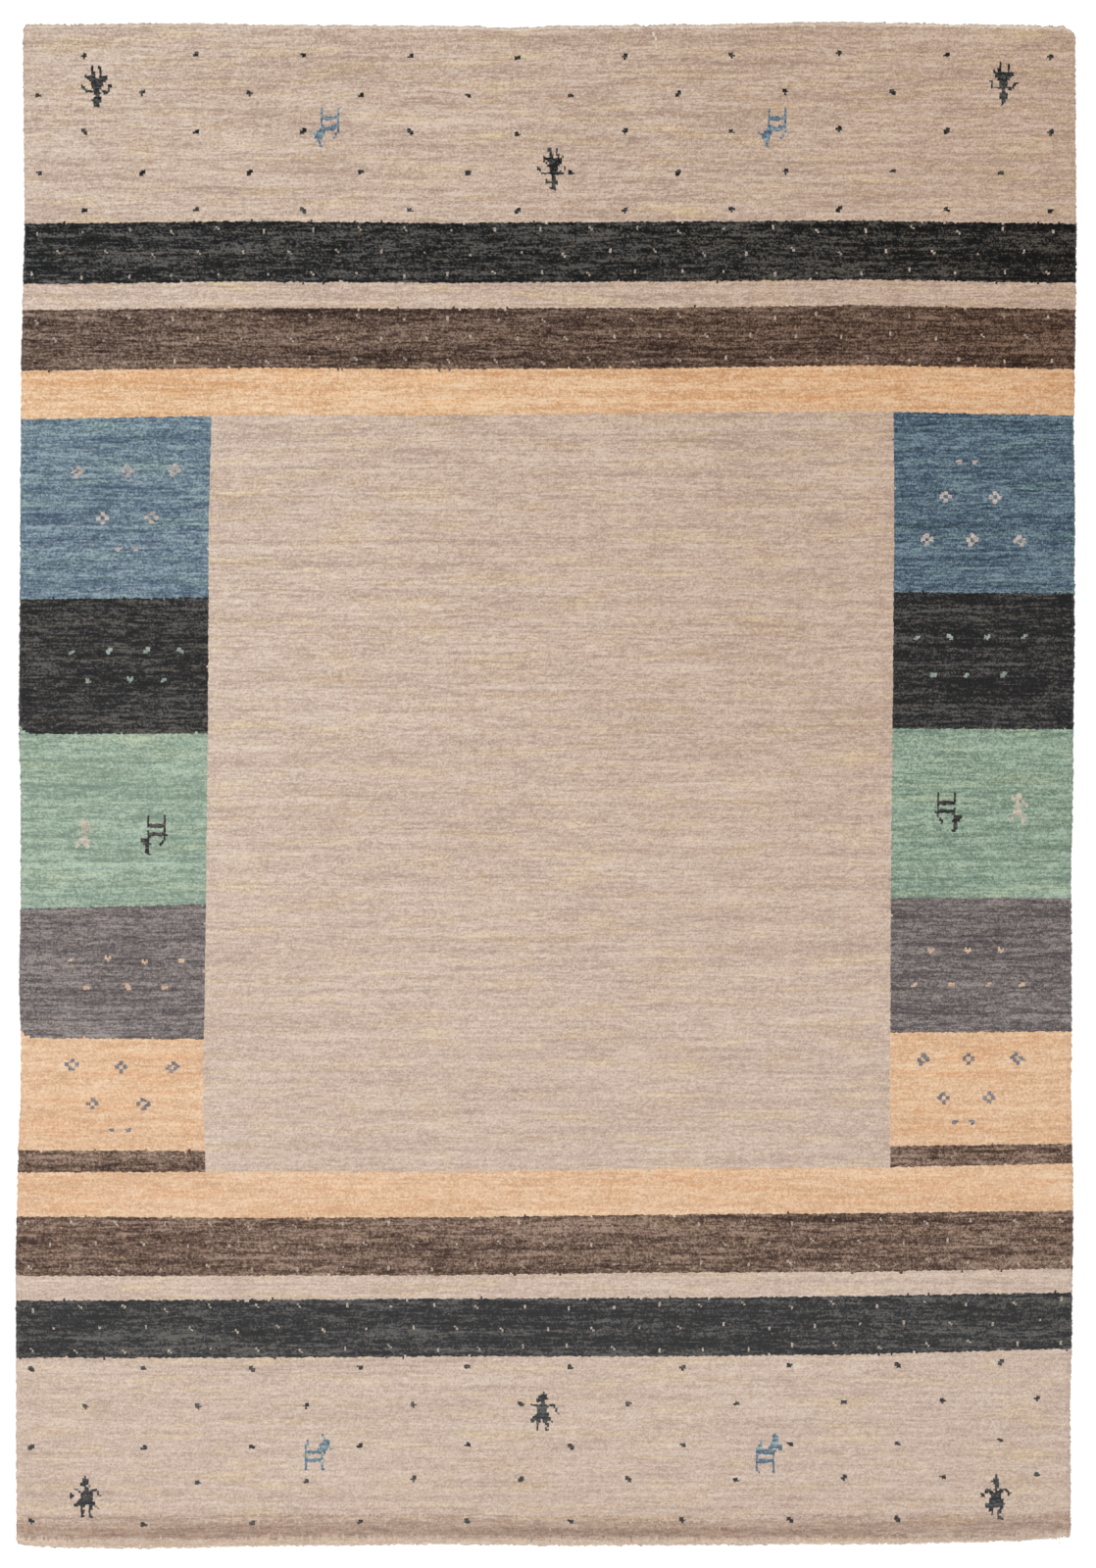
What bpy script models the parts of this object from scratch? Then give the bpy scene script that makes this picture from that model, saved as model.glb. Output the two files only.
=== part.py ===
"""Oriental carpet: a wool pile rug of bands and blocks, lying flat, as one solid.

Metres, +Z up. The origin is in the middle of the underside. +Y runs to the head end, where
the woven figures stand upside down, and +X runs to the right of someone who looks down on
the rug with the head end away from them.
"""

import math
from typing import NamedTuple

import bmesh
import bpy

RUG_WIDTH = 1.600
RUG_LENGTH = 2.310
RUG_THICKNESS = 0.014

# The pile leans out over the rim, so the edge is a soft roll. It is wider at the two ends.
SIDE_ROLL = 0.008
END_ROLL = 0.016
RIM_HEIGHT = 0.005
UNDERSIDE_TUCK = 0.004
ROLL_SHARES = (0.0, 0.12, 0.40)

GRID_CELL = 0.060
SHARP_FROM_DEGREES = 40

WOOL_COLOUR = (0.56, 0.43, 0.34, 1.0)
WOOL_ROUGHNESS = 0.95


class EdgeStation(NamedTuple):
    """A place along an edge, from the rug's middle, and how far the edge strays outward."""

    along: float
    outward: float


class Swell(NamedTuple):
    """One slow wave in the pile: its lengths across and along the rug, start and height."""

    across: float
    along: float
    start: float
    height: float


class Corner(NamedTuple):
    """A corner of the rug, by the signs of X and Y there, and its radius."""

    side: int
    end: int
    radius: float


LEFT_EDGE = (
    EdgeStation(along=-1.155, outward=0.0062),
    EdgeStation(along=-0.965, outward=0.0070),
    EdgeStation(along=-0.745, outward=0.0076),
    EdgeStation(along=-0.565, outward=0.0043),
    EdgeStation(along=-0.475, outward=0.0000),
    EdgeStation(along=-0.380, outward=-0.0005),
    EdgeStation(along=-0.295, outward=0.0027),
    EdgeStation(along=-0.150, outward=0.0000),
    EdgeStation(along=0.000, outward=0.0000),
    EdgeStation(along=0.090, outward=0.0027),
    EdgeStation(along=0.420, outward=0.0006),
    EdgeStation(along=0.640, outward=-0.0007),
    EdgeStation(along=0.760, outward=-0.0033),
    EdgeStation(along=0.855, outward=-0.0060),
    EdgeStation(along=1.040, outward=-0.0045),
    EdgeStation(along=1.155, outward=-0.0024),
)
RIGHT_EDGE = (
    EdgeStation(along=-1.155, outward=-0.0040),
    EdgeStation(along=-0.965, outward=-0.0054),
    EdgeStation(along=-0.870, outward=-0.0025),
    EdgeStation(along=-0.655, outward=-0.0007),
    EdgeStation(along=-0.475, outward=-0.0036),
    EdgeStation(along=-0.380, outward=-0.0028),
    EdgeStation(along=-0.150, outward=-0.0036),
    EdgeStation(along=0.000, outward=-0.0006),
    EdgeStation(along=0.285, outward=0.0015),
    EdgeStation(along=0.420, outward=0.0021),
    EdgeStation(along=0.550, outward=-0.0003),
    EdgeStation(along=0.640, outward=0.0025),
    EdgeStation(along=0.855, outward=0.0043),
    EdgeStation(along=1.040, outward=0.0031),
    EdgeStation(along=1.155, outward=0.0020),
)
HEAD_EDGE = (
    EdgeStation(along=-0.800, outward=0.0000),
    EdgeStation(along=-0.695, outward=0.0025),
    EdgeStation(along=-0.590, outward=0.0037),
    EdgeStation(along=-0.385, outward=0.0006),
    EdgeStation(along=-0.115, outward=-0.0006),
    EdgeStation(along=-0.063, outward=-0.0043),
    EdgeStation(along=0.004, outward=-0.0003),
    EdgeStation(along=0.210, outward=0.0012),
    EdgeStation(along=0.435, outward=0.0058),
    EdgeStation(along=0.660, outward=0.0016),
    EdgeStation(along=0.800, outward=0.0000),
)
FOOT_EDGE = (
    EdgeStation(along=-0.800, outward=0.0000),
    EdgeStation(along=-0.740, outward=0.0037),
    EdgeStation(along=-0.610, outward=0.0054),
    EdgeStation(along=-0.385, outward=0.0013),
    EdgeStation(along=-0.115, outward=-0.0010),
    EdgeStation(along=0.004, outward=0.0010),
    EdgeStation(along=0.510, outward=-0.0012),
    EdgeStation(along=0.660, outward=-0.0043),
    EdgeStation(along=0.735, outward=-0.0065),
    EdgeStation(along=0.800, outward=-0.0120),
)

CORNERS = (
    Corner(side=-1, end=1, radius=0.010),
    Corner(side=1, end=1, radius=0.018),
    Corner(side=-1, end=-1, radius=0.009),
    Corner(side=1, end=-1, radius=0.006),
)

SWELLS = (
    Swell(across=1.10, along=0.83, start=0.4, height=0.0004),
    Swell(across=0.47, along=-0.61, start=2.1, height=0.0003),
    Swell(across=-0.71, along=0.29, start=4.4, height=0.0002),
)


def strays(stations, along):
    """How far an edge strays outward at a place, eased from one station to the next."""
    if along <= stations[0].along:
        return stations[0].outward
    for before, after in zip(stations, stations[1:]):
        if along <= after.along:
            part = (along - before.along) / (after.along - before.along)
            eased = part * part * (3 - 2 * part)
            return before.outward + (after.outward - before.outward) * eased
    return stations[-1].outward


def rounded_corner(x, y):
    """Moves a point of the plain rectangle in, so that its corners are quarter circles."""
    for corner in CORNERS:
        over_x = corner.side * x - (RUG_WIDTH / 2 - corner.radius)
        over_y = corner.end * y - (RUG_LENGTH / 2 - corner.radius)
        if over_x > 0 and over_y > 0:
            shrink = max(over_x, over_y) / math.hypot(over_x, over_y)
            x -= corner.side * over_x * (1 - shrink)
            y -= corner.end * over_y * (1 - shrink)
    return x, y


def laid_out(x, y):
    """Where a point of the plain rectangle lies on the real, uneven rug."""
    to_right = x / RUG_WIDTH + 0.5
    to_head = y / RUG_LENGTH + 0.5
    shift_x = strays(RIGHT_EDGE, y) * to_right - strays(LEFT_EDGE, y) * (1 - to_right)
    shift_y = strays(HEAD_EDGE, x) * to_head - strays(FOOT_EDGE, x) * (1 - to_head)
    x, y = rounded_corner(x, y)
    return x + shift_x, y + shift_y


def quarter_round(part):
    """Height of a quarter circle, from 0 at the rim to 1 where it meets the flat."""
    inward = min(max(part, 0.0), 1.0)
    return math.sqrt(1 - (1 - inward) ** 2)


def pile_height(x, y):
    """Height of the pile above the floor at a point of the plain rectangle."""
    side_roll = quarter_round((RUG_WIDTH / 2 - abs(x)) / SIDE_ROLL)
    end_roll = quarter_round((RUG_LENGTH / 2 - abs(y)) / END_ROLL)
    roll = side_roll * end_roll
    swell = sum(
        wave.height * math.sin(math.tau * (x / wave.across + y / wave.along) + wave.start)
        for wave in SWELLS
    )
    return RIM_HEIGHT + (RUG_THICKNESS - RIM_HEIGHT + swell) * roll


def grid_lines(size, roll):
    """Places of the grid's lines over one size, closer together in the rolled edges."""
    flat = size - 2 * roll
    count = round(flat / GRID_CELL)
    over_flat = [flat * (step / count - 0.5) for step in range(count + 1)]
    over_roll = [size / 2 - roll * share for share in ROLL_SHARES]
    return [-place for place in over_roll] + over_flat + over_roll[::-1]


def add_pile_face(bm):
    """The pile's upper face, with its rolled edges, as one grid."""
    columns = grid_lines(RUG_WIDTH, SIDE_ROLL)
    rows = grid_lines(RUG_LENGTH, END_ROLL)
    across = len(columns) - 1
    along = len(rows) - 1
    grid = bmesh.ops.create_grid(bm, x_segments=across, y_segments=along, size=0.5)
    for vert in grid["verts"]:
        x = columns[round((vert.co.x + 0.5) * across)]
        y = rows[round((vert.co.y + 0.5) * along)]
        vert.co = (*laid_out(x, y), pile_height(x, y))


def add_underside(bm):
    """The low wall round the rim, tucked in a little, and the flat face the rug lies on."""
    rim = [edge for edge in bm.edges if edge.is_boundary]
    wall = bmesh.ops.extrude_edge_only(bm, edges=rim)
    for vert in wall["geom"]:
        if isinstance(vert, bmesh.types.BMVert):
            vert.co.x *= 1 - UNDERSIDE_TUCK / (RUG_WIDTH / 2)
            vert.co.y *= 1 - UNDERSIDE_TUCK / (RUG_LENGTH / 2)
            vert.co.z = 0
    bmesh.ops.holes_fill(bm, edges=[edge for edge in bm.edges if edge.is_boundary])


def wool_material():
    """Undyed wool, dull all over."""
    material = bpy.data.materials.new("wool")
    material.use_nodes = True
    shader = material.node_tree.nodes["Principled BSDF"]
    shader.inputs["Base Color"].default_value = WOOL_COLOUR
    shader.inputs["Roughness"].default_value = WOOL_ROUGHNESS
    shader.inputs["Metallic"].default_value = 0
    return material


def build_carpet(collection):
    """The whole rug: pile, rolled edges and flat underside in one closed solid."""
    bm = bmesh.new()
    add_pile_face(bm)
    add_underside(bm)
    bmesh.ops.recalc_face_normals(bm, faces=bm.faces)
    mesh = bpy.data.meshes.new("carpet")
    bm.to_mesh(mesh)
    bm.free()
    mesh.shade_smooth()
    mesh.set_sharp_from_angle(angle=math.radians(SHARP_FROM_DEGREES))
    mesh.materials.append(wool_material())
    carpet = bpy.data.objects.new("carpet", mesh)
    collection.objects.link(carpet)


def main():
    """Clears the scene and builds the rug in a collection of its own."""
    for old in list(bpy.data.objects):
        bpy.data.objects.remove(old, do_unlink=True)
    parts = bpy.data.collections.new("oriental_carpet")
    bpy.context.scene.collection.children.link(parts)
    build_carpet(parts)


main()
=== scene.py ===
"""Oriental carpet: the looks of a hand-knotted wool rug, laid out flat and seen from above.

The design is kept as a weaver keeps it, as a chart with one yarn for each knot, and each knot
is one facet of the pile. Metres, +Z up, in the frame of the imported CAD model: +Y runs to the
head end, where the woven figures stand upside down.
"""

import logging
import math
from dataclasses import dataclass, field
from enum import Enum
from typing import Any

import bpy
import numpy as np
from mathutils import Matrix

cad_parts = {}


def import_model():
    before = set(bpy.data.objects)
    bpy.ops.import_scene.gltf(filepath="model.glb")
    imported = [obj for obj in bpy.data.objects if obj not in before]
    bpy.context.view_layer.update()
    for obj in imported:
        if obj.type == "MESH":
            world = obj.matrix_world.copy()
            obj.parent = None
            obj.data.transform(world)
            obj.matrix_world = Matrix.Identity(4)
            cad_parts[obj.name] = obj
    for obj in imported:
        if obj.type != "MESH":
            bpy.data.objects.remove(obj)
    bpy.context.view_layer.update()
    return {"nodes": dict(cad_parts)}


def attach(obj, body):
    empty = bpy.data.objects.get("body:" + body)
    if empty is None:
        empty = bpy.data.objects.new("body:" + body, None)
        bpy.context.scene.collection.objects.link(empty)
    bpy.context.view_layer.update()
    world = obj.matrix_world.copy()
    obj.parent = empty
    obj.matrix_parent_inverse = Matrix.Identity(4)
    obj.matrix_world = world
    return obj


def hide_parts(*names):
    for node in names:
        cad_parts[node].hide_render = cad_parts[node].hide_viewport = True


log = logging.getLogger("oriental_carpet")

Array = np.ndarray
Rgb = tuple[int, int, int]
Spot = tuple[int, int]

NODE = "carpet"
BODY = "root"
SEED = 681

RUG_WIDTH = 1.600
RUG_LENGTH = 2.310
PILE_TOP = 0.014
RIM_HEIGHT = 0.005

COLUMNS = 510
ROWS = 736
KNOT_WIDTH = RUG_WIDTH / COLUMNS
KNOT_LENGTH = RUG_LENGTH / ROWS

# How bright a pure white sheet looks under the studio light.
WHITE_LEVEL = 1.15


def linear(screen: Rgb, level: float = WHITE_LEVEL) -> tuple[float, float, float, float]:
    """Surface colour that shows as a screen colour under the studio light.

    Args:
        screen: Red, green and blue as seen, from 0 to 255.
        level: How bright a pure white surface looks there.

    Returns:
        Linear red, green and blue, with full alpha.
    """
    parts = []
    for value in screen:
        share = value / 255
        light = share / 12.92 if share <= 0.04045 else ((share + 0.055) / 1.055) ** 2.4
        parts.append(light / level)
    return (parts[0], parts[1], parts[2], 1.0)


@dataclass(frozen=True)
class WoolFinish:
    """One dye lot of wool, by its darkest, usual and palest shades and the odd one in patches.

    The numbers say how strong its streaks and single tufts are, how strong its painted sheen haze is
    toward the foot and the left, how much its streaks even out to the foot, and how much painted shade
    darkens it for each metre to the right, near the head.
    """

    dark: Rgb
    usual: Rgb
    pale: Rgb
    odd: Rgb
    streaks: float = 1.0
    tufts: float = 1.0
    # Strength of the painted sheen haze toward the foot and the left.
    dust: float = 1.0
    evens: float = 0.0
    # Painted shade: how much darker to the right, near the head.
    leans: float = 0.0


class Yarn(Enum):
    """The yarns of the rug. Their order is the order of the material slots."""

    BEIGE = WoolFinish(
        (163, 139, 125), (196, 171, 152), (219, 200, 185), (202, 176, 143),
        dust=2.2, evens=0.35, leans=0.16,
    )
    SAND = WoolFinish(
        (193, 143, 97), (216, 173, 131), (235, 204, 170), (218, 166, 117),
        dust=2.8, evens=0.4, leans=0.15,
    )
    CHARCOAL = WoolFinish(
        (2, 2, 2), (22, 21, 20), (91, 88, 84), (24, 22, 19), streaks=1.3, tufts=1.1, leans=0.28
    )
    INK = WoolFinish((10, 11, 14), (38, 39, 41), (90, 90, 88), (40, 40, 38), streaks=1.3, tufts=1.3)
    BROWN = WoolFinish(
        (36, 22, 15), (89, 68, 56), (147, 124, 109), (90, 68, 53), dust=0.6, leans=0.28
    )
    LIGHT_BROWN = WoolFinish((50, 33, 24), (103, 80, 67), (161, 137, 121), (103, 80, 63), dust=0.4)
    BLUE = WoolFinish((60, 78, 100), (101, 120, 134), (152, 171, 176), (105, 127, 130))
    DEEP_BLUE = WoolFinish((38, 52, 68), (76, 95, 111), (126, 147, 155), (80, 102, 108))
    GREEN = WoolFinish((111, 131, 116), (142, 161, 143), (178, 194, 175), (150, 164, 137))
    DEEP_GREEN = WoolFinish((93, 115, 99), (133, 153, 135), (170, 187, 167), (140, 155, 130))
    GREY = WoolFinish((64, 56, 57), (105, 96, 94), (154, 145, 141), (108, 98, 93))
    CREAM = WoolFinish((134, 121, 108), (167, 153, 138), (200, 187, 173), (166, 150, 132), streaks=0.6)
    MINT = WoolFinish((100, 110, 102), (137, 149, 140), (172, 183, 174), (138, 148, 136), streaks=0.6)
    PEACH = WoolFinish((170, 140, 116), (198, 167, 140), (220, 192, 168), (198, 164, 132), streaks=0.6)
    PETAL = WoolFinish((146, 135, 130), (180, 167, 160), (208, 195, 187), (182, 163, 149), streaks=0.8)
    BLUSH = WoolFinish((152, 144, 130), (183, 174, 157), (206, 196, 180), (174, 174, 152), streaks=0.8)
    # The next three yarns are the beige field wool painted darker in steps: painted shade where the pile
    # bends over the foot end.
    SHADED_BEIGE = WoolFinish((155, 131, 116), (185, 160, 143), (208, 188, 172), (190, 163, 135))
    FOOT_HALF_SHADE = WoolFinish((144, 120, 105), (173, 148, 131), (196, 174, 157), (178, 149, 123))
    FOOT_SHADE = WoolFinish((134, 109, 94), (161, 136, 119), (184, 160, 142), (165, 134, 111))
    # The beige wool painted paler where the pile rolls over the foot end: a painted highlight.
    ROLL = WoolFinish(
        (180, 156, 137), (201, 177, 156), (219, 199, 178), (204, 178, 148), streaks=0.7, tufts=0.9
    )
    # The beige wool painted paler still at the very rim of both ends: a painted highlight that makes up
    # for the shade of the roll-off.
    RIM = WoolFinish((195, 174, 159), (221, 201, 185), (239, 224, 209), (222, 200, 176), streaks=0.8)
    COAL = WoolFinish((2, 2, 2), (22, 21, 20), (91, 88, 84), (24, 22, 19), streaks=1.3, tufts=1.1)
    DEEP_CHARCOAL = WoolFinish((1, 1, 1), (18, 17, 16), (84, 81, 78), (20, 18, 15), streaks=1.3, tufts=1.1)
    DEEP_GREY = WoolFinish((60, 53, 54), (101, 92, 90), (149, 140, 136), (104, 94, 89))
    SLATE = WoolFinish((84, 82, 88), (120, 116, 119), (158, 151, 148), (120, 114, 112), streaks=0.8)


YARNS = list(Yarn)


def slot_of(yarn: Yarn) -> int:
    """Number of a yarn's material slot."""
    return YARNS.index(yarn)


HEAD_LEFT_FIGURE = """
.....#..#......
.....#..##.....
.....#...#.....
.....##..#.....
..#..##..#.....
..#####..####..
...##########..
....########...
.....######....
#....######..##
##...#####...##
.##...####...#.
..#######.####.
......####.##..
.......##......
......####.....
.....#####.....
......####.....
......###......
......###......
"""
HEAD_MIDDLE_FIGURE = """
.....##..#.....
.....##..#.....
......#..#.....
......##.##....
...#..##..#.#..
...#########...
...#.#######...
....#.######...
.....######....
#.....####...#.
##....####...#.
.#....####.#...
..###########..
.......##......
.......##......
....#..##......
....######.....
.......###.....
.......##......
......###......
........#......
"""
HEAD_RIGHT_FIGURE = """
.....#.........
.....#...#.....
.....#...#.....
....##...#.....
..#.##...#.....
..##########...
...#########...
...########....
....######.....
##...####......
.#...####...##.
.#...####..##..
.###########...
......##.##....
......##.......
.....####......
.....####......
.....####......
......##.......
......##.......
......#........
"""
FOOT_LEFT_FIGURE = """
.......#.......
......###......
......###......
.....####......
.....###.#.....
.......##......
..##...##.###..
....#.#####..#.
#....######..#.
##...######...#
#....######....
....#######....
...#########...
..##########...
..##.##..##.#..
.....#...##..#.
.....##..#.....
.....##..#.....
.....#...#.....
.....##..##....
"""
FOOT_MIDDLE_FIGURE = """
.......#.......
......###......
.....####......
....######.....
....####.......
......##.......
.########.###..
....######..#..
....#####....#.
....#####....#.
....######....#
...#######.....
..#########....
.#####.####....
.##.##.##..#...
....#...##.....
....#....#.....
....#...#......
....#...##.....
"""
FOOT_RIGHT_FIGURE = """
.......#.......
.......#.......
......###......
.....####......
......###......
.......##......
.......##......
..###.##.####..
..####.####.##.
##..######...##
##...#####...#.
....######.....
....#######....
....#######....
..##########...
..#########....
....##...##....
....##..##.....
.....#..##.....
.....#..#......
"""
HEAD_GOAT = """
.....#.......#
.....#.......#
.....#.......#
.....#.......#
.....#########
.....#########
.....#.......#
.....#.......#
.....##...####
.....#########
....########.#
#..####......#
.######.....#.
..####......#.
..####.....#..
...###........
....#.........
....#.........
....##........
"""
FOOT_LEFT_GOAT = """
.........#.....
.........#.....
..........#....
..#.......###..
..#......####..
.##.....#####..
.#......#####..
.#.....#####.##
.##########....
.########.#....
.#.......#.....
.#.......#.....
.#########.....
.########.#....
.#.......#.....
.#.......#.....
.#.......#.....
.##......##....
"""
FOOT_RIGHT_GOAT = """
........##....
........###...
........###...
..#.....###...
..#....####...
.##....######.
##....#######.
########...##.
##########....
#########.....
#.......#.....
#.......#.....
#########.....
#########.....
#.......#.....
#.......#.....
#.......#.....
#.......#.....
.#......#.....
"""
BLOCK_GOAT = """
...#.......#.
...#.......#.
...#.......#.
...#.......#.
...#########.
...#########.
...........#.
...#.......#.
...#########.
...##########
...##......#.
####.......#.
####......#..
.####....##..
..##.....#...
..##.........
..##.........
..##.........
...##........
"""
PALE_LEFT_FIGURE = """
...#.#...
..####...
..#####..
...####..
...###...
.#.###.##
##.##..#.
...###...
...###...
..####...
.######..
.######..
##..###..
#....##..
"""
PALE_RIGHT_FIGURE = """
....##...
.#.###...
.#####...
.####.#..
...##.##.
...###.##
..####..#
...###...
..####...
..#####..
.######..
.##..###.
##....##.
#.....##.
......#..
"""
FLOWERS = (
    "..##../..###./##..##/##..##/..##../..##..",
    "...##../..###../##...##/###..##/..##.../..###..",
    "..##.../.###.../##..##./.##..##/..###../...##..",
    "..##../.###../###.##/##..##/..###./...##.",
)
DOTS = ("###/###", ".##/###/##.", "##./###", ".##/###", "###/.##", "##./###/.#.")
BLOCK_DOTS = ("##./###/.##", "###/###", ".##/##.", "##./###", "#.#/###/.#.")
PAIR_DOT = "###/##."
FLECKS = ("#/#", "#./.#", "#./.#", "#", "#/#")
PARTING_LINE = "#./#./.#/.#/#./.#/.#"


def knots_of(chart: str) -> Array:
    """Reads a drawn chart.

    Args:
        chart: Lines of # for a knot of the figure and full stops for the ground.

    Returns:
        True where the figure has a knot, one line for each row.
    """
    lines = chart.replace("/", "\n").split()
    return np.array([[mark == "#" for mark in line] for line in lines])


@dataclass(frozen=True)
class Band:
    """A band of one yarn, down to the row where the next one starts."""

    yarn: Yarn
    to_row: int


@dataclass(frozen=True)
class Block:
    """A block of the two side columns, in a dye lot for each side, down to a row."""

    left: Yarn
    right: Yarn
    to_row: int
    rounded: bool = False


@dataclass(frozen=True)
class FleckRow:
    """A row of pale flecks, evenly spaced from a first column to a last."""

    row: int
    first: int
    last: int
    count: int


@dataclass(frozen=True)
class DotRow:
    """A row of dark dots across an end field."""

    row: int
    columns: tuple[int, ...]


@dataclass(frozen=True)
class Scatter:
    """Small figures of one yarn, each around a column and row."""

    charts: tuple[str, ...]
    yarn: Yarn
    spots: tuple[Spot, ...]


@dataclass(frozen=True)
class Figure:
    """A figure of one yarn, tied with its first knot at a column and row."""

    chart: str
    yarn: Yarn
    column: int
    row: int
    mirrored: bool = False


HEAD_WIDE_DOTS = (30, 83, 135, 188, 239, 292, 343, 396, 447, 498)
HEAD_INNER_DOTS = (8, 57, 109, 163, 215, 266, 318, 369, 421, 474)
FOOT_WIDE_DOTS = (33, 88, 139, 191, 243, 295, 347, 399, 448, 494)
FOOT_INNER_DOTS = (8, 61, 113, 166, 218, 268, 321, 373, 425, 475)


@dataclass
class Chart:
    """The weaver's chart: a yarn for each knot, in rows from the head end."""

    block_left: int = 91
    block_right: int = 422
    first_block_row: int = 188
    corner_steps: tuple[int, ...] = (5, 3, 2, 1)
    teeth_along: float = 0.012
    teeth_across: float = 0.010
    # The foot's painted shade: rows of beige wool painted darker above the roll; dark_stops are the
    # columns where its darkest rows end to the right.
    shading: tuple[Yarn, ...] = (Yarn.SHADED_BEIGE,) * 3 + (Yarn.FOOT_HALF_SHADE,) * 3
    dark_stops: tuple[int, ...] = (360, 410, 380, 430)
    # How many rows of the foot's roll are painted paler, a painted highlight, at some columns.
    roll_columns: tuple[int, ...] = (0, 60, 107, 206, 306, 406, 440, 480, 509)
    roll_rows: tuple[float, ...] = (4.6, 5.1, 4.7, 4.1, 3.8, 3.5, 3.2, 3.4, 3.6)
    bands: tuple[Band, ...] = (
        Band(Yarn.BEIGE, 95),
        Band(Yarn.CHARCOAL, 124),
        Band(Yarn.BEIGE, 137),
        Band(Yarn.BROWN, 167),
        Band(Yarn.SAND, 188),
        Band(Yarn.BEIGE, 554),
        Band(Yarn.SAND, 576),
        Band(Yarn.LIGHT_BROWN, 605),
        Band(Yarn.BEIGE, 616),
        Band(Yarn.CHARCOAL, 644),
        Band(Yarn.BEIGE, ROWS),
    )
    blocks: tuple[Block, ...] = (
        Block(Yarn.BLUE, Yarn.DEEP_BLUE, 276),
        Block(Yarn.COAL, Yarn.DEEP_CHARCOAL, 342, rounded=True),
        Block(Yarn.GREEN, Yarn.DEEP_GREEN, 424),
        Block(Yarn.GREY, Yarn.DEEP_GREY, 489, rounded=True),
        Block(Yarn.SAND, Yarn.SAND, 544),
        Block(Yarn.LIGHT_BROWN, Yarn.LIGHT_BROWN, 554),
    )
    fleck_rows: tuple[FleckRow, ...] = (
        FleckRow(99, 6, 497, 23),
        FleckRow(110, 17, 486, 22),
        FleckRow(120, 6, 497, 23),
        FleckRow(142, 6, 497, 23),
        FleckRow(152, 17, 486, 22),
        FleckRow(163, 6, 497, 23),
        FleckRow(580, 5, 504, 24),
        FleckRow(590, 17, 492, 23),
        FleckRow(601, 6, 504, 24),
        FleckRow(620, 8, 503, 24),
        FleckRow(630, 19, 493, 23),
        FleckRow(640, 8, 504, 24),
    )
    dot_rows: tuple[DotRow, ...] = (
        DotRow(15, HEAD_WIDE_DOTS),
        DotRow(34, HEAD_INNER_DOTS[:9]),
        DotRow(52, HEAD_WIDE_DOTS),
        DotRow(71, HEAD_INNER_DOTS),
        DotRow(89, HEAD_WIDE_DOTS),
        DotRow(649, FOOT_INNER_DOTS),
        DotRow(667, FOOT_WIDE_DOTS),
        DotRow(687, FOOT_INNER_DOTS),
        DotRow(704, FOOT_WIDE_DOTS[1:]),
        DotRow(724, FOOT_INNER_DOTS),
    )
    figures: tuple[Figure, ...] = (
        Figure(PARTING_LINE, Yarn.RIM, 305, 4),
        Figure(HEAD_LEFT_FIGURE, Yarn.INK, 28, 20),
        Figure(HEAD_MIDDLE_FIGURE, Yarn.INK, 249, 59),
        Figure(HEAD_RIGHT_FIGURE, Yarn.INK, 468, 18),
        Figure(HEAD_GOAT, Yarn.BLUE, 139, 40),
        Figure(HEAD_GOAT, Yarn.BLUE, 356, 41),
        Figure(FOOT_LEFT_FIGURE, Yarn.INK, 26, 701),
        Figure(FOOT_MIDDLE_FIGURE, Yarn.INK, 247, 661),
        Figure(FOOT_RIGHT_FIGURE, Yarn.INK, 466, 703),
        Figure(FOOT_LEFT_GOAT, Yarn.BLUE, 138, 681),
        Figure(FOOT_RIGHT_GOAT, Yarn.BLUE, 357, 682),
        Figure(BLOCK_GOAT, Yarn.COAL, 59, 381),
        Figure(BLOCK_GOAT, Yarn.COAL, 443, 373, mirrored=True),
        Figure(PALE_LEFT_FIGURE, Yarn.BLUSH, 27, 382),
        Figure(PALE_RIGHT_FIGURE, Yarn.BLUSH, 479, 373),
    )
    scatters: tuple[Scatter, ...] = (
        Scatter(FLOWERS, Yarn.PETAL, ((28, 214), (51, 214), (74, 214), (40, 237), (63, 237))),
        Scatter((PAIR_DOT,), Yarn.PETAL, ((47, 252), (55, 252), (454, 212), (461, 212))),
        Scatter(FLOWERS, Yarn.PETAL, ((447, 229), (471, 229), (438, 250), (460, 250), (483, 250))),
        Scatter(FLOWERS, Yarn.SLATE, ((25, 502), (50, 503), (75, 503), (36, 521), (62, 521))),
        Scatter((PAIR_DOT,), Yarn.SLATE, ((45, 534), (53, 534), (454, 533), (462, 533))),
        Scatter(FLOWERS, Yarn.SLATE, ((438, 502), (460, 502), (483, 502), (448, 521), (470, 521))),
        Scatter(BLOCK_DOTS, Yarn.MINT, ((25, 302), (43, 302), (62, 302), (78, 302))),
        Scatter(BLOCK_DOTS, Yarn.MINT, ((33, 316), (54, 316), (70, 316))),
        Scatter(BLOCK_DOTS, Yarn.MINT, ((441, 316), (457, 316), (476, 316))),
        Scatter(BLOCK_DOTS, Yarn.MINT, ((434, 298), (449, 298), (467, 298), (485, 297))),
        Scatter(BLOCK_DOTS, Yarn.PEACH, ((26, 450), (44, 450), (62, 451), (79, 451))),
        Scatter(BLOCK_DOTS, Yarn.PEACH, ((34, 464), (54, 464), (71, 464))),
        Scatter(BLOCK_DOTS, Yarn.PEACH, ((441, 450), (459, 450), (476, 450))),
        Scatter(BLOCK_DOTS, Yarn.PEACH, ((434, 466), (451, 466), (469, 466), (486, 466))),
    )
    rng: Any = field(default_factory=lambda: np.random.default_rng(SEED))
    knots: Array = field(init=False)

    def __post_init__(self) -> None:
        """Ties the whole design, from the ground to the smallest flecks."""
        self.knots = np.zeros((ROWS, COLUMNS), dtype=np.int32)
        self.tie_bands()
        self.tie_blocks()
        self.tie_ends()
        self.roughen()
        self.tie_figures()

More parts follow.
